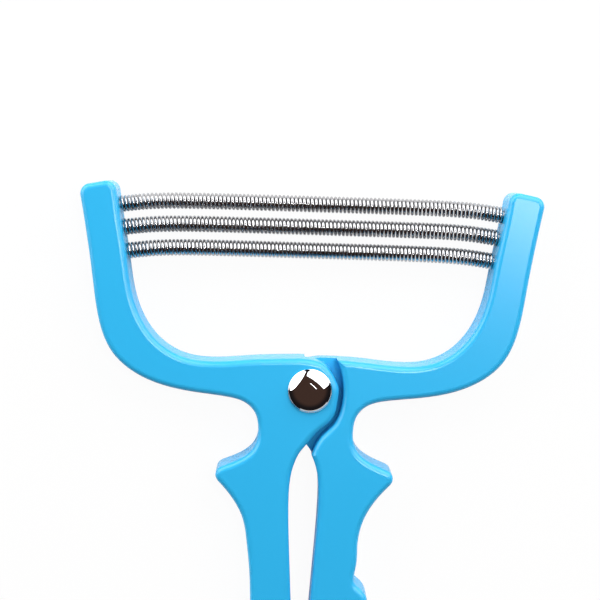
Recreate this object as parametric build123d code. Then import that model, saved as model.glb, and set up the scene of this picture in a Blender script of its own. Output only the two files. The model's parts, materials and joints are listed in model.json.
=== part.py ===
from build123d import *
import math
import os

# Hand-held three-spring hair remover: two moulded plastic halves turn on a
# domed rivet like a pair of pliers whose arms and handles stay on their own
# side, and three extension springs are stretched between the arm tips.
# It lies on its back: X across the arms, Y from the handle ends to the arm
# tips, Z through the thickness, front face up.  Millimetres.

# ---- driving dimensions --------------------------------------------------
THICKNESS = 10.0          # moulded halves, back face to front face
EDGE_ROUND = 1.2          # rounding of the front and back edges
LAP_GAP = 0.06            # running gap between the two lapped hubs
PIVOT_X = 0.65            # the rivet sits a little right of the mid-line
HANDLE_END_Y = -106.0     # handle ends, measured from the rivet
HANDLE_GAP = 0.9          # left between the handle ends when fully squeezed
TIP_ROUND = 2.2           # corners of the arm tips
HANDLE_ROUND = 4.2        # corners of the handle ends

FINGER_REST_TOP = -42.8   # where the first finger rest starts
FINGER_REST_PITCH = 20.0  # one finger
FINGER_RESTS = 3
FINGER_REST_RISE = 2.7

SHANK_R = 2.5             # rivet
BORE_CLEARANCE = 0.05
HEAD_R = 3.2
HEAD_H = 0.8
CAP_R = 4.75
CAP_H = 2.1
WASHER_R = 4.3
WASHER_T = 0.8
RECESS_R = 4.6
RECESS_DEPTH = 1.9
TAIL_R = 3.6
TAIL_H = 0.6
RIVET_BORE_R = 1.5
RIVET_BORE_TOP = 8.0
STACK_GAP = 0.05          # between the washer and the bottom of its recess

WIRE_D = 0.70             # springs
COIL_D = 2.9              # mean diameter of a coil
END_COILS = 4.5           # close coils that sit on each plug
END_PITCH = 0.76
END_GAP = 0.6             # from the arm's face to the middle of the first coil
OPEN_COILS = 87           # stretched coils between the two plugs
SPRING_RISE = 7.5         # degrees by which a spring end points up the arm
SPRING_BEND = 5.0         # length over which a spring end levels out
STEPS_PER_COIL = 8        # points on the wire's path
WIRE_SPANS = 12           # faces that share the long wire's surface
SPRING_SEATS = {"top": (41.35, 38.85), "middle": (40.5, 33.9), "bottom": (39.65, 28.8)}

PLUG_R = 1.03
PLUG_OUT = END_GAP + END_COILS * END_PITCH
PLUG_DEPTH = 3.4          # length of a plug inside the arm
PIN_R = 0.7               # cross pin that holds a plug
PIN_IN = 2.0              # from the arm face to the pin
PIN_RECESS = 0.4          # its end lies this deep in the back face

MID_Z = THICKNESS / 2
PIN_TOP = MID_Z + 2.2
LEFT, RIGHT = -1, 1

# ---- outlines of one half, for the right side, from the rivet's height -----
ARM_INNER = [(10.3, 6.45), (20.6, 5.65), (26.3, 6.25), (31.4, 8.75), (35.8, 13.9),
             (38.2, 20.1), (39.45, 27.3), (40.8, 35), (42.3, 44.2)]
ARM_TIP_OUTER = (50, 42.7)
ARM_OUTER = [ARM_TIP_OUTER, (48.2, 32.8), (46.95, 24.8), (45.6, 15.8), (44.15, 10.65),
             (42.2, 7.05), (39.2, 4.05), (35.7, 1.9), (24.15, -1.15), (17.1, -2), (13.1, -3.25),
             (11, -5.5), (10.3, -8.55), (10.5, -11.3), (11.5, -13.4), (14, -15.45),
             (17.3, -16.95), (19, -18), (19.3, -19.5), (18.2, -21.1), (15.2, -24.75), (13.2, -28.6),
             (12.15, -33.8)]
LAP_END = (1.45, -14.3)
HANDLE_INNER = [LAP_END, (2.7, -17.8), (3.25, -25), (2.75, -36.4), (2.05, -47.9), (0.8, -71),
                (HANDLE_GAP / 2, -86)]
THUMB_HANDLE_OUTER = [(11.45, -39.5), (11, -47.9), (11.1, -63), (11.4, -78), (10.8, -93),
                      (9.8, HANDLE_END_Y)]
# hub of the left half, which keeps this outline through the whole thickness
LEFT_HUB = [(4.1, 6.75), (1.2, 6.8), (-1.1, 6.55), (-3, 6), (-4.7, 4.65), (-6.35, 2),
            (-6.95, 0.2), (-6.8, -1.6), (-6.1, -5.3), (-5.1, -6.85), (-2.3, -9.4), (0, -12.3)]
# hub of the right half, behind the left one
RIGHT_HUB = [(6.4, 6.6), (4.1, 6.62), (2.4, 6.56), (1.1, 6.35), (-0.15, 6.08), (-2.35, 5.3), (-3.95, 4), (-5.15, 1.9),
             (-5.45, 0), (-5.25, -1.8), (-4.75, -5), (-4.1, -6.9), (-2.3, -9.4), (0, -12.3)]
# step in the right half that leaves room for the left hub
RIGHT_SHOULDER = [(6.4, 6.65), (7.1, 5), (7.9, 0.65), (7.6, -3.65), (6.1, -7.35),
                  (3.3, -10.3), (2.3, -12), LAP_END]
# edge of the pocket in the back of the left half that takes the right hub
LEFT_POCKET = [(0.65, 6.31), (1.55, 6.06), (3.5, 4.94), (4.94, 3.22), (5.7, 1.12),
               (5.78, -0.56), (5.55, -2.3), (5.15, -5.4), (4.65, -7.4), (2.9, -9.9),
               (1.65, -12.2), (0.9, -14.8)]


def on_side(points, side):
    return [(side * x, y) for x, y in points]


def finger_rest_points():
    """Outer edge of the handle that the fingers pull: rests one finger apart."""
    low = 12.0
    shape = [(0.0, 0.0), (0.45, -1.1), (0.96, -3.2), (1.0, -5.6), (0.55, -10.0), (0.12, -14.5)]
    points = [(12, -38.6)]
    for k in range(FINGER_RESTS):
        start = FINGER_REST_TOP - k * FINGER_REST_PITCH
        points += [(low + FINGER_REST_RISE * rise, start + drop) for rise, drop in shape]
    return points + [(9.6, HANDLE_END_Y)]


def half_profile(side, lap_edge):
    """Flat outline of one half; lap_edge closes it between the bar and the handle."""
    outer_points = ARM_OUTER + (finger_rest_points() if side == RIGHT else THUMB_HANDLE_OUTER)
    inner_end = (HANDLE_GAP / 2, HANDLE_END_Y)
    bar = Spline(*on_side(ARM_INNER, side))
    handle = Spline(*on_side(HANDLE_INNER + [inner_end], side))
    hub_start = on_side([ARM_INNER[0]], side)
    if lap_edge is RIGHT_SHOULDER:
        corner = on_side([lap_edge[0]], side)
        lap = [Spline(*(hub_start + corner), tangents=(-(bar % 0), Vector(-side, 0, 0))),
               Spline(*on_side(lap_edge, side))]
    else:
        lap = [Spline(*(hub_start + on_side(lap_edge + [LAP_END], side)), tangents=(-(bar % 0), handle % 0))]
    tip = Line(*on_side([ARM_INNER[-1], ARM_TIP_OUTER], side))
    outer = Spline(*on_side(outer_points, side))
    end = Line(*on_side([inner_end, outer_points[-1]], side))
    return make_face([bar, handle, tip, outer, end] + lap)


def half_layer(side, lap_edge, low, high):
    """A layer of a half from low to high, rounded where it meets the front or back face."""
    layer = extrude(Plane.XY.offset(low) * half_profile(side, lap_edge), amount=high - low)
    uprights = layer.edges().filter_by(Axis.Z)
    layer = fillet(uprights.filter_by(lambda e: e.center().Y > 40), TIP_ROUND)
    uprights = layer.edges().filter_by(Axis.Z)
    layer = fillet(uprights.filter_by(lambda e: e.center().Y < HANDLE_END_Y + 0.5), HANDLE_ROUND)
    for face_z in (0, THICKNESS):
        rim = layer.edges().filter_by(lambda e: abs(e.bounding_box().min.Z - face_z) < 1e-4
                                      and abs(e.bounding_box().max.Z - face_z) < 1e-4)
        layer = fillet(rim, EDGE_ROUND) if rim else layer
    return layer


def left_pocket():
    """What is cut from the back of the left half for the right hub."""
    edge = on_side(LEFT_POCKET, LEFT)
    outside = Polyline(edge[-1], (12, edge[-1][1]), (12, 9), (edge[0][0], 9), edge[0])
    return extrude(make_face([Spline(*edge), outside]), amount=MID_Z + LAP_GAP / 2)


def seats(side):
    """Where the springs leave one arm: name, point on the arm's face, direction."""
    lean = math.radians(SPRING_RISE)
    direction = Vector(-side * math.cos(lean), math.sin(lean), 0)
    for name, (u, y) in SPRING_SEATS.items():
        yield name, Vector(side * u, y, MID_Z), direction


def rod(start, direction, length, radius):
    return extrude(Plane(origin=start, z_dir=direction) * Circle(radius), amount=length)


def upright(seat, direction, low):
    """Cylinder across a plug, from low up to the bottom of the pin's hole."""
    centre = seat - direction * PIN_IN
    return rod(Vector(centre.X, centre.Y, low), Vector(0, 0, 1), PIN_TOP - low, PIN_R)


def half(side):
    """A moulded half: arm, half-thickness hub and handle in one piece."""
    if side == LEFT:
        body = half_layer(side, LEFT_HUB, 0, THICKNESS) - left_pocket()
        bore = SHANK_R
    else:
        body = half_layer(side, RIGHT_SHOULDER, MID_Z - LAP_GAP / 2, THICKNESS)
        body += half_layer(side, RIGHT_HUB, 0, MID_Z - LAP_GAP / 2)
        bore = SHANK_R + BORE_CLEARANCE
    body -= Pos(PIVOT_X, 0, MID_Z) * Cylinder(bore, THICKNESS * 1.2)
    if side == RIGHT:
        body -= Pos(PIVOT_X, 0, RECESS_DEPTH / 2) * Cylinder(RECESS_R, RECESS_DEPTH)
    for _, seat, direction in seats(side):
        body -= rod(seat - direction * PLUG_DEPTH, direction, PLUG_DEPTH + PLUG_OUT, PLUG_R)
        body -= upright(seat, direction, 0)
    return body


def rivet():
    """Tubular rivet: flat head under the cap, shank, tail rolled over the washer."""
    tail_z = RECESS_DEPTH - STACK_GAP - WASHER_T
    head_z = THICKNESS + HEAD_H
    profile = Polyline((RIVET_BORE_R, tail_z - TAIL_H), (TAIL_R, tail_z - TAIL_H),
                       (TAIL_R, tail_z), (SHANK_R, tail_z), (SHANK_R, THICKNESS),
                       (HEAD_R, THICKNESS), (HEAD_R, head_z), (0, head_z),
                       (0, RIVET_BORE_TOP), (RIVET_BORE_R, RIVET_BORE_TOP), close=True)
    return Pos(PIVOT_X, 0, 0) * revolve(Plane.XZ * make_face(profile), Axis.Z)


def rivet_cap():
    """Domed shell snapped over the rivet's head."""
    ball = (CAP_R ** 2 + CAP_H ** 2) / (2 * CAP_H)
    dome = Pos(0, 0, THICKNESS + CAP_H - ball) * Sphere(ball)
    dome &= Pos(0, 0, THICKNESS + CAP_H) * Cylinder(CAP_R * 2, CAP_H * 2)
    dome -= Pos(0, 0, THICKNESS) * Cylinder(HEAD_R, HEAD_H * 2)
    return Pos(PIVOT_X, 0, 0) * dome


def rivet_washer():
    ring = Cylinder(WASHER_R, WASHER_T) - Cylinder(SHANK_R, WASHER_T)
    return Pos(PIVOT_X, 0, RECESS_DEPTH - STACK_GAP - WASHER_T / 2) * ring


def plug(seat, direction):
    """Steel stud that carries the close end coils of one spring."""
    stud = rod(seat - direction * PLUG_DEPTH, direction, PLUG_DEPTH + PLUG_OUT, PLUG_R)
    return stud - upright(seat, direction, 0)


def pin(seat, direction):
    """Cross pin pressed in from the back of the arm, through the plug."""
    return upright(seat, direction, PIN_RECESS)


def spring_path(seat):
    """Path of the wire from the left arm to the right one, as a list of points."""
    seat_u, seat_y = seat
    lean = math.radians(SPRING_RISE)
    tip_u = seat_u - PLUG_OUT * math.cos(lean)
    tip_y = seat_y + PLUG_OUT * math.sin(lean)
    coils = 2 * END_COILS + OPEN_COILS
    half_way = coils / 2
    points = []
    for k in range(round(coils * STEPS_PER_COIL) + 1):
        turn = k / STEPS_PER_COIL
        from_end = min(turn, coils - turn)
        side = LEFT if turn < half_way else RIGHT
        if from_end < END_COILS:
            u = seat_u - (END_GAP + from_end * END_PITCH) * math.cos(lean)
            y = tip_y - (u - tip_u) * math.tan(lean)
            slope = math.tan(lean)
        else:
            u = tip_u * (half_way - from_end) / (half_way - END_COILS)
            fade = math.exp((u - tip_u) / SPRING_BEND)
            y = tip_y + SPRING_BEND * math.tan(lean) * (1 - fade)
            slope = math.tan(lean) * fade
        across = Vector(side * slope, 1, 0).normalized()
        angle = 2 * math.pi * turn
        centre = Vector(side * u, y, MID_Z)
        points.append(centre + across * (COIL_D / 2 * math.cos(angle))
                      + Vector(0, 0, COIL_D / 2 * math.sin(angle)))
    return points


def spring(seat):
    """Round wire swept along its path, in spans so that no one face is very long."""
    line = Spline(*spring_path(seat))
    path = Wire([line.trim(k / WIRE_SPANS, (k + 1) / WIRE_SPANS) for k in range(WIRE_SPANS)])
    start = Plane(origin=path @ 0, z_dir=path % 0)
    return sweep(start * Circle(WIRE_D / 2), path=path, is_frenet=True)


def sub_parts():
    """Every piece by name, with the rivet at (PIVOT_X, 0) and the back face at Z = 0."""
    pieces = {
        "left_half": half(LEFT),
        "right_half": half(RIGHT),
        "rivet": rivet(),
        "rivet_cap": rivet_cap(),
        "rivet_washer": rivet_washer(),
    }
    for side, side_name in ((LEFT, "left"), (RIGHT, "right")):
        for name, seat, direction in seats(side):
            pieces[f"{side_name}_plug_{name}"] = plug(seat, direction)
            pieces[f"{side_name}_pin_{name}"] = pin(seat, direction)
    for name, seat in SPRING_SEATS.items():
        pieces[f"spring_{name}"] = spring(seat)
    return pieces


def main():
    """Write each piece with the origin under the middle of the whole tool."""
    os.makedirs("parts", exist_ok=True)
    pieces = sub_parts()
    arm_tip_y = pieces["left_half"].bounding_box().max.Y
    middle_y = (arm_tip_y + HANDLE_END_Y) / 2
    print("rivet at", PIVOT_X, round(-middle_y, 3))
    for name, shape in pieces.items():
        export_step(Pos(0, -middle_y, 0) * shape, f"parts/{name}.step")


main()
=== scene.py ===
# %% [markdown]
# # A three-spring hair remover
# Two sky-blue plastic halves turn on a chrome-capped rivet, and three long
# coil springs are stretched between their arms. The CAD model already has every
# solid at its true size, so this lesson dresses it: it gives each solid the
# finish of its real material and rebuilds the springs and the domed cap as
# finer meshes that follow the joint.

# %% Load the frame
import bpy
import bmesh
import json
import math
from mathutils import Matrix, Vector


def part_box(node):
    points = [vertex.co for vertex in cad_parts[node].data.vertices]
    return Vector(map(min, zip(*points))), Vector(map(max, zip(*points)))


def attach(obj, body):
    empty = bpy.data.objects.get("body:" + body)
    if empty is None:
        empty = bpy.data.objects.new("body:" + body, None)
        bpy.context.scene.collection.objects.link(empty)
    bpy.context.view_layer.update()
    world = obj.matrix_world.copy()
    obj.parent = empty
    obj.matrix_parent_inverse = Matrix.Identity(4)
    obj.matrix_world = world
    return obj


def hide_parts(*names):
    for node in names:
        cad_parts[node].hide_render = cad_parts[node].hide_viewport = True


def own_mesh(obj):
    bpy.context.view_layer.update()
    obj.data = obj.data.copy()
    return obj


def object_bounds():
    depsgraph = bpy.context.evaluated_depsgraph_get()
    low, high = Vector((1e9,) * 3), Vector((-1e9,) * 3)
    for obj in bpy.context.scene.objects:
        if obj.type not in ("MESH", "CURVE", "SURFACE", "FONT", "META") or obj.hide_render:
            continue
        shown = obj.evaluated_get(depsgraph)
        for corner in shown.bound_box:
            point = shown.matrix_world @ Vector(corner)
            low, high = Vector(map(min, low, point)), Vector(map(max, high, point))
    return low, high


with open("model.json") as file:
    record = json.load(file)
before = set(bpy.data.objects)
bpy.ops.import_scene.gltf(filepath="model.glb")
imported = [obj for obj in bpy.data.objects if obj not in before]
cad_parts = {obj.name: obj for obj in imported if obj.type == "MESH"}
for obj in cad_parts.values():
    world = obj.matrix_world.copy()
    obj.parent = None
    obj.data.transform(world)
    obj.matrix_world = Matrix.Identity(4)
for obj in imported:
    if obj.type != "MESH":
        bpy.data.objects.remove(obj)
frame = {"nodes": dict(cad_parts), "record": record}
cad_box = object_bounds()
MM = 0.001
spans = [round((high - low) / MM, 1) for low, high in zip(*cad_box)]
print("nodes", len(frame["nodes"]), "size in mm", spans)

# %% [markdown]
# ## Small helpers
# Hex colours are easy to read and to compare, but shaders work in linear
# light, so one function converts them. A second one adds a shader node,
# sets its options and connects its sockets, so that a material reads as a
# short list of nodes. Both kinds of finish here use fine noise, so the helper
# for it takes the size of a patch in metres instead of a scale.

# %% Colour and node helpers


def linear(hex_colour):
    """sRGB hex, such as "#35B8F3", to linear RGBA."""
    channels = [int(hex_colour[i:i + 2], 16) / 255 for i in (1, 3, 5)]
    return [c / 12.92 if c <= 0.04045 else ((c + 0.055) / 1.055) ** 2.4 for c in channels] + [1.0]


def add(tree, kind, inputs=None, **options):
    """Add a node; inputs maps a socket's name or number to a value or to an output socket."""
    made = tree.nodes.new(kind)
    for name, value in options.items():
        setattr(made, name, value)
    for key, value in (inputs or {}).items():
        if isinstance(value, bpy.types.NodeSocket):
            tree.links.new(value, made.inputs[key])
        else:
            made.inputs[key].default_value = value
    return made


def new_material(name):
    """An empty node material with its principled shader, joined to the output."""
    material = bpy.data.materials.new(name)
    material.use_nodes = True
    tree = material.node_tree
    tree.nodes.clear()
    shader = add(tree, "ShaderNodeBsdfPrincipled")
    add(tree, "ShaderNodeOutputMaterial", {"Surface": shader.outputs["BSDF"]})
    return material, tree, shader


def noise(tree, place, size, detail):
    """Noise whose patches are about this size."""
    sockets = {"Vector": place, "Scale": 1 / size, "Detail": detail}
    return add(tree, "ShaderNodeTexNoise", sockets).outputs["Fac"]


# %% [markdown]
# ## Moulded ABS
# The halves are injection-moulded ABS in sky blue, polished in the mould to a
# satin gloss. The dye is even, so colour changes only a little, over
# centimetres. The skin has a faint orange peel, about a millimetre from crest
# to crest, which softens the edges of reflections.
#
# A painted image could give all this, but the meshes would have to be unwrapped
# first. Noise on the object's own coordinates needs no unwrapping, and it stays
# where it is on a half when that half turns.

# %% Moulded ABS
DYE = "#2BAEE4", "#31B2E8"
DYE_CLOUD = 30 * MM
PEEL_SIZE = 1.1 * MM
GRAIN_SIZE = 0.25 * MM
GRAIN_SHARE = 0.25
SKIN_STRENGTH = 0.12
SKIN_DEPTH = 0.02 * MM
SATIN = 0.23, 0.28
ABS_IOR = 1.54


def moulded_abs():
    material, tree, shader = new_material("ABS_moulded_satin_sky_blue")
    place = add(tree, "ShaderNodeTexCoord").outputs["Object"]
    clouds = noise(tree, place, DYE_CLOUD, 2.0)
    dye = add(tree, "ShaderNodeMix", {"Factor": clouds, "A": linear(DYE[0]), "B": linear(DYE[1])},
              data_type="RGBA")
    peel = noise(tree, place, PEEL_SIZE, 1.0)
    grain = noise(tree, place, GRAIN_SIZE, 2.0)
    skin = add(tree, "ShaderNodeMath", {0: grain, 1: GRAIN_SHARE, 2: peel},
               operation="MULTIPLY_ADD")
    bump = add(tree, "ShaderNodeBump", {"Height": skin.outputs[0], "Strength": SKIN_STRENGTH,
                                        "Distance": SKIN_DEPTH})
    gloss = add(tree, "ShaderNodeMapRange", {"Value": grain, "To Min": SATIN[0],
                                             "To Max": SATIN[1]})
    tree.links.new(dye.outputs["Result"], shader.inputs["Base Color"])
    tree.links.new(bump.outputs["Normal"], shader.inputs["Normal"])
    tree.links.new(gloss.outputs["Result"], shader.inputs["Roughness"])
    shader.inputs["IOR"].default_value = ABS_IOR
    return material


BLUE = moulded_abs()
print("plastic", BLUE.name)

# %% [markdown]
# ## Metals
# Three metals: the bright chrome of the cap, the nickel-plated wire of the
# springs, which is drawn through dies and so carries fine lines, and the plain
# turned steel of the studs, pins and rivet. One even roughness would look like
# foil, because no real metal is equally smooth all over. So one helper lets
# noise move the roughness between two values and dent the surface by a few
# thousandths of a millimetre, and each metal gives it the size of its grain.

# %% Metals
METAL_DETAIL = 3.0
METAL_BUMP = 0.3


def metal(name, colour, smooth, rough, grain_mm, bump_mm):
    """A metal whose roughness wanders between two values at the size of its grain."""
    material, tree, shader = new_material(name)
    place = add(tree, "ShaderNodeTexCoord").outputs["Object"]
    grain = noise(tree, place, grain_mm * MM, METAL_DETAIL)
    gloss = add(tree, "ShaderNodeMapRange", {"Value": grain, "To Min": smooth, "To Max": rough})
    bump = add(tree, "ShaderNodeBump", {"Height": grain, "Strength": METAL_BUMP,
                                        "Distance": bump_mm * MM})
    tree.links.new(gloss.outputs["Result"], shader.inputs["Roughness"])
    tree.links.new(bump.outputs["Normal"], shader.inputs["Normal"])
    shader.inputs["Base Color"].default_value = linear(colour)
    shader.inputs["Metallic"].default_value = 1.0
    return material


CHROME = metal("chrome_plated_polished", "#E6E8EA",
               smooth=0.02, rough=0.05, grain_mm=2.0, bump_mm=0.0001)
SPRING_WIRE = metal("spring_wire_drawn_nickel_plated", "#B9B9BB",
                    smooth=0.10, rough=0.18, grain_mm=0.3, bump_mm=0.004)
STEEL = metal("steel_turned_bright", "#B9BABC",
              smooth=0.25, rough=0.4, grain_mm=0.2, bump_mm=0.003)
print("metals", [finish.name for finish in (CHROME, SPRING_WIRE, STEEL)])

# %% [markdown]
# ## Dress the CAD solids
# The two halves, the rivet, its washer, the studs and the pins keep their CAD
# meshes. They could be modelled afresh, but their shapes and rounded edges are
# already right, so only the material changes. A solid's name says which it gets.

# %% Dress the CAD solids
for name, node in frame["nodes"].items():
    finish = BLUE if name.endswith("_half") else CHROME if name == "rivet_cap" else STEEL
    node.data.materials.clear()
    node.data.materials.append(finish)
print("dressed", len(frame["nodes"]), "solids")

# %% [markdown]
# ## The springs
# Each spring is one long coil of thin round wire. Close coils sit on a stud at
# each arm, and the stretch between them is pulled open. It leaves the studs
# rising a little towards the middle and levels out over a few millimetres.
#
# The close ends ride on the two halves. The open stretch rides on the spring's
# own body, which swings with the arms, and it is squashed along its length, as
# the real coils close up. The wire starts under the stud, a little sunk into
# the arm, so that it has closed the gap to the arm when it comes round on top.
# It makes whole turns there, so both places where one mesh takes over from the
# next lie on the underside too, out of sight.

# %% Spring sizes
WIRE_D = 0.70 * MM
COIL_D = 2.9 * MM
END_COILS = 5
END_PITCH = 0.78 * MM
END_GAP = 0.12 * MM
END_REACH = END_GAP + END_COILS * END_PITCH
OPEN_COILS = 87
SPRING_RISE = math.radians(7.5)
SPRING_BEND = 5 * MM
FIRST_ANGLE = math.radians(-90)
JOINTS = {joint["name"]: joint for joint in frame["record"]["behaviour"]["joints"]}
PIVOT = Vector(JOINTS["handle_pivot"]["pos_m"])
FLAT_PIVOT = Vector((PIVOT.x, PIVOT.y, 0))
FULL_RELEASE = math.radians(JOINTS["handle_pivot"]["range_deg"][1])
print("wire", round(WIRE_D / MM, 2), "mm thick,", 2 * END_COILS + OPEN_COILS, "coils to a spring")

# %% [markdown]
# A Screw modifier could wind the wire, but only round a straight line, and this
# line bends. A coil follows a rule, so Geometry Nodes make it: the centre line
# is resampled, every point is pushed out by one coil radius while it turns
# round the line, and a circle is swept along the result. There are hundreds of
# turns, so a circle of a few points has to do, and smooth shading makes it round.

# %% Coil tree


def coil_tree():
    """Geometry Nodes that wind a wire round the curve they are given."""
    tree = bpy.data.node_groups.new("wound_wire", "GeometryNodeTree")
    face = tree.interface
    face.new_socket("Centre line", in_out="INPUT", socket_type="NodeSocketGeometry")
    for name in ("Coils", "Coil radius", "Wire radius", "First angle"):
        face.new_socket(name, in_out="INPUT", socket_type="NodeSocketFloat")
    for name in ("Points per coil", "Wire sides"):
        face.new_socket(name, in_out="INPUT", socket_type="NodeSocketInt")
    face.new_socket("Material", in_out="INPUT", socket_type="NodeSocketMaterial")
    face.new_socket("Geometry", in_out="OUTPUT", socket_type="NodeSocketGeometry")
    given = add(tree, "NodeGroupInput").outputs

    def maths(operation, *values):
        return add(tree, "ShaderNodeMath", dict(enumerate(values)), operation=operation).outputs[0]

    def vectors(operation, *values, result="Vector", **more):
        sockets = {**dict(enumerate(values)), **more}
        return add(tree, "ShaderNodeVectorMath", sockets, operation=operation).outputs[result]

    count = maths("MULTIPLY_ADD", given["Coils"], given["Points per coil"], 1.0)
    line = add(tree, "GeometryNodeResampleCurve", {"Curve": given["Centre line"], "Count": count})
    along = add(tree, "GeometryNodeSplineParameter").outputs["Factor"]
    turned = maths("MULTIPLY", along, maths("MULTIPLY", given["Coils"], math.tau))
    angle = maths("ADD", turned, given["First angle"])
    tangent = add(tree, "GeometryNodeInputTangent").outputs["Tangent"]
    upward = (0.0, 0.0, 1.0)
    across = vectors("NORMALIZE", vectors("CROSS_PRODUCT", upward, tangent))
    side = vectors("SCALE", across, Scale=maths("COSINE", angle))
    rise = vectors("SCALE", upward, Scale=maths("SINE", angle))
    offset = vectors("SCALE", vectors("ADD", side, rise), Scale=given["Coil radius"])
    path = add(tree, "GeometryNodeSetPosition", {"Geometry": line.outputs["Curve"],
                                                 "Offset": offset})
    ring = add(tree, "GeometryNodeCurvePrimitiveCircle", {"Resolution": given["Wire sides"],
                                                          "Radius": given["Wire radius"]})
    wire = add(tree, "GeometryNodeCurveToMesh", {"Curve": path.outputs["Geometry"],
                                                 "Profile Curve": ring.outputs["Curve"],
                                                 "Fill Caps": True})
    smooth = add(tree, "GeometryNodeSetShadeSmooth", {"Geometry": wire.outputs["Mesh"]})
    real = add(tree, "GeometryNodeRealizeInstances", {"Geometry": smooth.outputs["Geometry"]})
    dressed = add(tree, "GeometryNodeSetMaterial", {"Geometry": real.outputs["Geometry"],
                                                    "Material": given["Material"]})
    add(tree, "NodeGroupOutput", {"Geometry": dressed.outputs["Geometry"]})
    return tree


COIL_TREE = coil_tree()
print("coil tree", len(COIL_TREE.nodes), "nodes")

# %% [markdown]
# The tree is a modifier on a curve. Its inputs are set by their identifiers
# before the first evaluation. The result becomes a plain mesh, so that a body
# can carry it, and the curve goes.

# %% Wind one stretch of wire
POINTS_PER_COIL = 24
WIRE_SIDES = 10


def wind(name, centre_line, coils, first_angle):
    """A plain mesh of wire wound round a list of points."""
    curve = bpy.data.curves.new(name, "CURVE")
    curve.dimensions = "3D"
    spline = curve.splines.new("POLY")
    spline.points.add(len(centre_line) - 1)
    for point, place in zip(spline.points, centre_line):
        point.co = (*place, 1.0)
    holder = bpy.data.objects.new(name + "_line", curve)
    bpy.context.collection.objects.link(holder)
    modifier = holder.modifiers.new("wound_wire", "NODES")
    modifier.node_group = COIL_TREE
    inputs = [item for item in COIL_TREE.interface.items_tree if item.in_out == "INPUT"]
    identifiers = {item.name: item.identifier for item in inputs}
    values = {"Coils": float(coils), "Coil radius": COIL_D / 2, "Wire radius": WIRE_D / 2,
              "First angle": first_angle, "Points per coil": POINTS_PER_COIL,
              "Wire sides": WIRE_SIDES, "Material": SPRING_WIRE}
    for socket_name, value in values.items():
        modifier[identifiers[socket_name]] = value
    ready = holder.evaluated_get(bpy.context.evaluated_depsgraph_get())
    mesh = bpy.data.meshes.new_from_object(ready)
    bpy.data.objects.remove(holder)
    piece = bpy.data.objects.new(name, mesh)
    bpy.context.collection.objects.link(piece)
    return piece


# %% [markdown]
# Both arms are alike, so one end of the centre line is worked out and the other
# mirrors it. The open stretch rises from the stud's tip at the stud's own angle
# and fades to level. The last helper turns the right stud's tip back round the
# rivet, to see how far the stretch has closed up when the handles are let go.

# %% Where the wire runs
OPEN_STEPS = 160
END_STEPS = 12


def level(low, high, share):
    return low + (high - low) * share


def spring_line(tip, seat):
    """Centre lines of the left end, the open stretch and the right end."""
    open_line = []
    for k in range(OPEN_STEPS + 1):
        x = level(-tip.x, tip.x, k / OPEN_STEPS)
        fade = math.exp((abs(x) - tip.x) / SPRING_BEND)
        open_line.append((x, tip.y + SPRING_BEND * math.tan(SPRING_RISE) * (1 - fade), tip.z))
    end_line = []
    for k in range(END_STEPS + 1):
        share = level(END_GAP / END_REACH, 1, k / END_STEPS)
        end_line.append((level(seat.x, tip.x, share), level(seat.y, tip.y, share), tip.z))
    left_line = [(-x, y, z) for x, y, z in end_line]
    return left_line, open_line, end_line[::-1]


def closed_share(tip):
    """Length of the open stretch at full release, as a share of its length at rest."""
    right_tip = Vector((tip.x, tip.y, 0)) - FLAT_PIVOT
    released_tip = FLAT_PIVOT + Matrix.Rotation(FULL_RELEASE, 3, "Z") @ right_tip
    return (released_tip - Vector((-tip.x, tip.y, 0))).length / (2 * tip.x)


# %% [markdown]
# The record gives the place of each left stud's tip, which is where its spring
# swings. The right tip mirrors it, and the seat on the arm lies one stud's
# length further out. Each stretch starts at the angle where the last one ended,
# so that the three meshes read as one wire.

# %% Make the three springs
for row in ("top", "middle", "bottom"):
    title = f"spring_{row}"
    left_tip = Vector(JOINTS[f"{title}_swing"]["pos_m"])
    tip = Vector((-left_tip.x, left_tip.y, left_tip.z))
    seat = tip + END_REACH * Vector((math.cos(SPRING_RISE), -math.sin(SPRING_RISE), 0))
    left_line, open_line, right_line = spring_line(tip, seat)
    left_split = FIRST_ANGLE + END_COILS * math.tau
    right_split = left_split + OPEN_COILS * math.tau
    left_end = wind(f"{title}_left_end", left_line, END_COILS, FIRST_ANGLE)
    coils = wind(f"{title}_coils", open_line, OPEN_COILS, left_split)
    right_end = wind(f"{title}_right_end", right_line, END_COILS, right_split)
    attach(left_end, "left_half")
    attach(right_end, "right_half")
    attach(coils, title)
    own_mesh(coils)
    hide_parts(title)
    print(title, "shortens to", round(closed_share(tip), 3), "of its stretched length")

# %% [markdown]
# ## The domed cap
# The cap is a shallow dome of thin sheet, pressed over the rivet's head and
# chrome plated. A mirror shows every facet, so its mesh is turned anew from a
# fine profile. From the middle outwards that has a crown that is part of a
# ball, a shoulder that grows steeper as the sheet bends down, a tight edge and
# a short upright rim. The steep shoulder is what catches the low light as a
# thin bright crescent. A squashed ball would be quicker, but a mirror shows how
# steep a surface is, and with a profile that is chosen point by point.

# %% Profile of the cap
CROWN_SHARE = 0.87
RIM_H = 0.45 * MM
EDGE_W = 0.08 * MM
STEEPEST = math.radians(48)
CROWN_STEPS = 40
SHOULDER_STEPS = 16
EDGE_STEPS = 4


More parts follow.
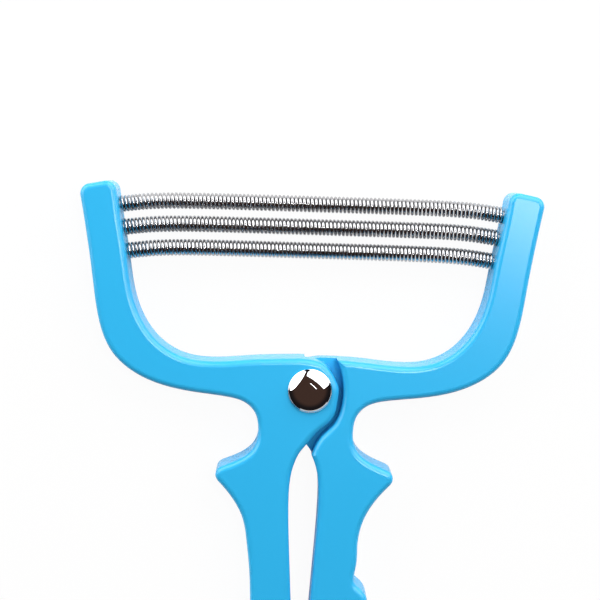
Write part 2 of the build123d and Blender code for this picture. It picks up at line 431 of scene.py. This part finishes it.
def cap_profile(radius, height):
    """Radius and height of points from the middle of the cap out to its rim."""
    crown_r = CROWN_SHARE * radius
    crown_h = height - RIM_H
    ball = (radius ** 2 + crown_h ** 2) / (2 * crown_h)
    crown_slope = math.asin(crown_r / ball)
    bend = (radius - EDGE_W - crown_r) / (math.sin(STEEPEST) - math.sin(crown_slope))
    points = []
    for k in range(CROWN_STEPS + 1):
        slope = level(0, crown_slope, k / CROWN_STEPS)
        points.append((ball * math.sin(slope), height - ball * (1 - math.cos(slope))))
    crown_low = points[-1][1]
    for k in range(1, SHOULDER_STEPS + 1):
        slope = level(crown_slope, STEEPEST, k / SHOULDER_STEPS)
        points.append((crown_r + bend * (math.sin(slope) - math.sin(crown_slope)),
                       crown_low - bend * (math.cos(crown_slope) - math.cos(slope))))
    shoulder_low = points[-1][1]
    for k in range(1, EDGE_STEPS + 1):
        turned = math.sin(level(STEEPEST, math.radians(90), k / EDGE_STEPS))
        inwards = (1 - turned) / (1 - math.sin(STEEPEST))
        points.append((radius - EDGE_W * inwards, shoulder_low - EDGE_W * k / EDGE_STEPS))
    return points + [(radius, 0.0)]


# %% [markdown]
# The profile is spun round the rivet's axis in many small steps. The points on
# the axis merge into one, the open bottom is filled, and the faces are turned
# outwards. Smooth shading stops at the flat bottom, the one face with many
# corners.

# %% Spin the cap
SPIN_STEPS = 192
MERGE = 0.001 * MM
QUAD = 4


def domed_cap():
    low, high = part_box("rivet_cap")
    profile = cap_profile((high.x - low.x) / 2, high.z - low.z)
    mesh = bmesh.new()
    points = [mesh.verts.new((PIVOT.x + r, PIVOT.y, low.z + z)) for r, z in reversed(profile)]
    edges = [mesh.edges.new(pair) for pair in zip(points, points[1:])]
    bmesh.ops.spin(mesh, geom=points + edges, cent=(PIVOT.x, PIVOT.y, 0), axis=(0, 0, 1),
                   angle=math.tau, steps=SPIN_STEPS)
    bmesh.ops.remove_doubles(mesh, verts=mesh.verts, dist=MERGE)
    bottom = [edge for edge in mesh.edges if edge.is_boundary]
    bmesh.ops.holes_fill(mesh, edges=bottom)
    bmesh.ops.recalc_face_normals(mesh, faces=mesh.faces)
    data = bpy.data.meshes.new("chrome_dome")
    mesh.to_mesh(data)
    mesh.free()
    data.materials.append(CHROME)
    for polygon in data.polygons:
        polygon.use_smooth = len(polygon.vertices) <= QUAD
    dome = bpy.data.objects.new("chrome_dome", data)
    bpy.context.collection.objects.link(dome)
    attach(dome, "left_half")
    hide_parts("rivet_cap")
    print("dome", len(data.polygons), "faces")
    return dome


DOME = domed_cap()

# %% [markdown]
# ## The floor
# The tool lies on a white sheet. The camera sees it glow white, and a small
# share of it stays a real surface, so that a faint shadow remains. A mirror
# sees mostly the real sheet, which is white too but darker close beside the
# tool, where the tool keeps the light away. That keeps the upright walls blue.
# Stronger lamps could burn the sheet out to white too, but they would bleach
# the tool with it, so the Light Path node tells the two apart.

# %% Floor
WHITE = (1.0, 1.0, 1.0, 1.0)
PAPER = (0.88, 0.88, 0.88, 1.0)
CAMERA_GLOW = 0.95
MIRROR_GLOW = 0.2
FLOOR_REACH = 3.0
FLOOR_DROP = 0.05 * MM


def paper_floor():
    material = bpy.data.materials.new("paper_white_backdrop")
    material.use_nodes = True
    tree = material.node_tree
    tree.nodes.clear()
    path = add(tree, "ShaderNodeLightPath").outputs
    mirrored = add(tree, "ShaderNodeMath",
                   {0: path["Is Glossy Ray"], 1: path["Is Transmission Ray"]},
                   operation="MAXIMUM").outputs[0]
    in_mirror = add(tree, "ShaderNodeMath", {0: mirrored, 1: MIRROR_GLOW},
                    operation="MULTIPLY").outputs[0]
    share = add(tree, "ShaderNodeMath", {0: path["Is Camera Ray"], 1: CAMERA_GLOW, 2: in_mirror},
                operation="MULTIPLY_ADD").outputs[0]
    paper = add(tree, "ShaderNodeBsdfDiffuse", {"Color": PAPER}).outputs[0]
    glow = add(tree, "ShaderNodeEmission", {"Color": WHITE, "Strength": 1.0}).outputs[0]
    both = add(tree, "ShaderNodeMixShader", {0: share, 1: paper, 2: glow})
    add(tree, "ShaderNodeOutputMaterial", {"Surface": both.outputs[0]})
    corners = [(x * FLOOR_REACH, y * FLOOR_REACH, 0)
               for x, y in ((-1, -1), (1, -1), (1, 1), (-1, 1))]
    data = bpy.data.meshes.new("floor")
    data.from_pydata(corners, [], [(0, 1, 2, 3)])
    data.materials.append(material)
    floor = bpy.data.objects.new("floor", data)
    floor.location.z = cad_box[0][2] - FLOOR_DROP
    bpy.context.collection.objects.link(floor)
    print("floor", 2 * FLOOR_REACH, "m wide, at", round(floor.location.z / MM, 2), "mm")


paper_floor()

# %% [markdown]
# ## The room
# Everything that the lamps don't fill is a dark room: a brown ceiling straight
# above and nearly black walls. It gives almost no light, but the chrome cap
# mirrors it as a brown middle inside a dark ring. An all-white room would be
# simpler, but a mirror in a white room looks like white paint. Only the camera
# sees the room as a white background.

# %% Room
CEILING = (0.06, 0.032, 0.024, 1.0)
WALLS = (0.012, 0.010, 0.011, 1.0)
CEILING_LEAN = math.radians(47)
WALL_LEAN = math.radians(67)


def studio_world():
    world = bpy.data.worlds.new("studio")
    bpy.context.scene.world = world
    world.use_nodes = True
    tree = world.node_tree
    tree.nodes.clear()
    direction = add(tree, "ShaderNodeTexCoord").outputs["Generated"]
    upward = add(tree, "ShaderNodeSeparateXYZ", {"Vector": direction}).outputs["Z"]
    overhead = add(tree, "ShaderNodeMapRange", {"Value": upward, "From Min": math.cos(WALL_LEAN),
                                                "From Max": math.cos(CEILING_LEAN)},
                   interpolation_type="SMOOTHSTEP")
    room = add(tree, "ShaderNodeMix",
               {"Factor": overhead.outputs["Result"], "A": WALLS, "B": CEILING},
               data_type="RGBA")
    dark = add(tree, "ShaderNodeBackground",
               {"Color": room.outputs["Result"], "Strength": 1.0}).outputs[0]
    white = add(tree, "ShaderNodeBackground", {"Color": WHITE, "Strength": 1.0}).outputs[0]
    camera_ray = add(tree, "ShaderNodeLightPath").outputs["Is Camera Ray"]
    both = add(tree, "ShaderNodeMixShader", {0: camera_ray, 1: dark, 2: white})
    add(tree, "ShaderNodeOutputWorld", {"Surface": both.outputs[0]})
    print("room", world.name, len(tree.nodes), "nodes")


studio_world()

# %% [markdown]
# ## The lamps
# Two large soft boxes stand low beyond the arm tips, to the left and the right,
# so that edges that face them turn bright and edges that face away turn dark,
# and the cap mirrors them as two white windows. A white card low in front gives
# the cap its crescent. A thin tube overhead lays a soft sheen on the right arm.
# A mirror would smear so bright a line, so light linking gives the cap a dimmer
# tube in the same place. They are area lamps, not points, because the shape of
# a lamp shows in chrome and its size decides how soft a sheen on plastic is.
#
# Each lamp's place is a direction from the rivet and a distance. A lamp's power
# spreads over its area, so the helper takes how bright the panel looks and
# works out the power.

# %% Lamp helpers


def way(heading, lean):
    """Unit direction: heading is from +X, lean from straight up, in degrees."""
    turn, tilt = math.radians(heading), math.radians(lean)
    flat = math.sin(tilt)
    return Vector((math.cos(turn) * flat, math.sin(turn) * flat, math.cos(tilt)))


def panel(name, centre, across, width, height, radiance, shape="RECTANGLE"):
    """A flat lamp that faces the rivet; its width lies along the direction across."""
    lamp = bpy.data.lights.new(name, "AREA")
    lamp.shape = shape
    lamp.size = width
    lamp.size_y = height
    area = width * height * (math.pi / 4 if shape == "ELLIPSE" else 1)
    lamp.energy = radiance * math.pi * area
    light = bpy.data.objects.new(name, lamp)
    back = (centre - PIVOT).normalized()
    side = (across - back * across.dot(back)).normalized()
    turn = Matrix((side, back.cross(side), back)).transposed()
    light.matrix_world = Matrix.Translation(centre) @ turn.to_4x4()
    bpy.context.collection.objects.link(light)
    return light


def light_only(light, pieces):
    """Keep a lamp's light for the pieces given."""
    chosen = bpy.data.collections.new(light.name + "_lights")
    for piece in pieces:
        chosen.objects.link(piece)
    light.light_linking.receiver_collection = chosen


# %% [markdown]
# Sizes and distances are in metres. The tube runs from one direction to
# another, so its middle and its length follow from its two ends.

# %% Lamps
LEVEL = 90
BOX_AWAY = 0.55
CARD_AWAY = 0.50
TUBE_AWAY = 0.45
TUBE_W = 0.01
BOX_LIGHT = 3.05
CARD_LIGHT = 0.6
TUBE_LIGHT = 90
TUBE_IN_CAP = 5
panel("right_box", PIVOT + BOX_AWAY * way(heading=53, lean=60), across=way(143, LEVEL),
      width=0.84, height=0.57, radiance=BOX_LIGHT)
panel("left_box", PIVOT + BOX_AWAY * way(heading=147, lean=66), across=way(57, LEVEL),
      width=0.88, height=0.51, radiance=BOX_LIGHT, shape="ELLIPSE")
panel("front_card", PIVOT + CARD_AWAY * way(heading=-75, lean=84), across=way(15, LEVEL),
      width=0.75, height=0.14, radiance=CARD_LIGHT)
tube_start = PIVOT + TUBE_AWAY * way(heading=86, lean=20)
tube_end = PIVOT + TUBE_AWAY * way(heading=5, lean=21.5)
tube_line = tube_end - tube_start
tube_middle = (tube_start + tube_end) / 2
meshes = [piece for piece in bpy.context.scene.objects if piece.type == "MESH"]
all_but_cap = [piece for piece in meshes if piece != DOME]
tube = panel("tube", tube_middle, tube_line, tube_line.length, TUBE_W, TUBE_LIGHT)
light_only(tube, all_but_cap)
tube_in_cap = panel("tube_in_cap", tube_middle, tube_line, tube_line.length, TUBE_W, TUBE_IN_CAP)
light_only(tube_in_cap, [DOME])
print("lamps", [lamp.name for lamp in bpy.data.lights])

# %% [markdown]
# ## The camera
# It looks down on the front face from just beyond the springs and a little from
# the left, close enough that the near handles run out of the picture. It could
# be set by hand, but here its place and its aim are measured from the rivet, so
# the picture stays the same wherever the model's origin lies.

# %% Camera
CAMERA_FROM_PIVOT = Vector((-8, 48, 310)) * MM
LOOK_FROM_PIVOT = Vector((-2.76, 19.5, 9)) * MM
ROLL = math.radians(1.7)
FOCAL_LENGTH = 84.4


def place_camera():
    data = bpy.data.cameras.new("camera")
    data.lens = FOCAL_LENGTH
    data.clip_start = 10 * MM
    camera = bpy.data.objects.new("camera", data)
    place = FLAT_PIVOT + CAMERA_FROM_PIVOT
    forward = (FLAT_PIVOT + LOOK_FROM_PIVOT - place).normalized()
    right = Vector((math.cos(ROLL), math.sin(ROLL), 0))
    right = (right - forward * right.dot(forward)).normalized()
    up = right.cross(forward)
    turn = Matrix((right, up, -forward)).transposed()
    camera.matrix_world = Matrix.Translation(place) @ turn.to_4x4()
    bpy.context.collection.objects.link(camera)
    bpy.context.scene.camera = camera
    print("camera", round((place - PIVOT).length / MM), "mm from the rivet")


place_camera()
bpy.context.scene.view_settings.view_transform = "Standard"
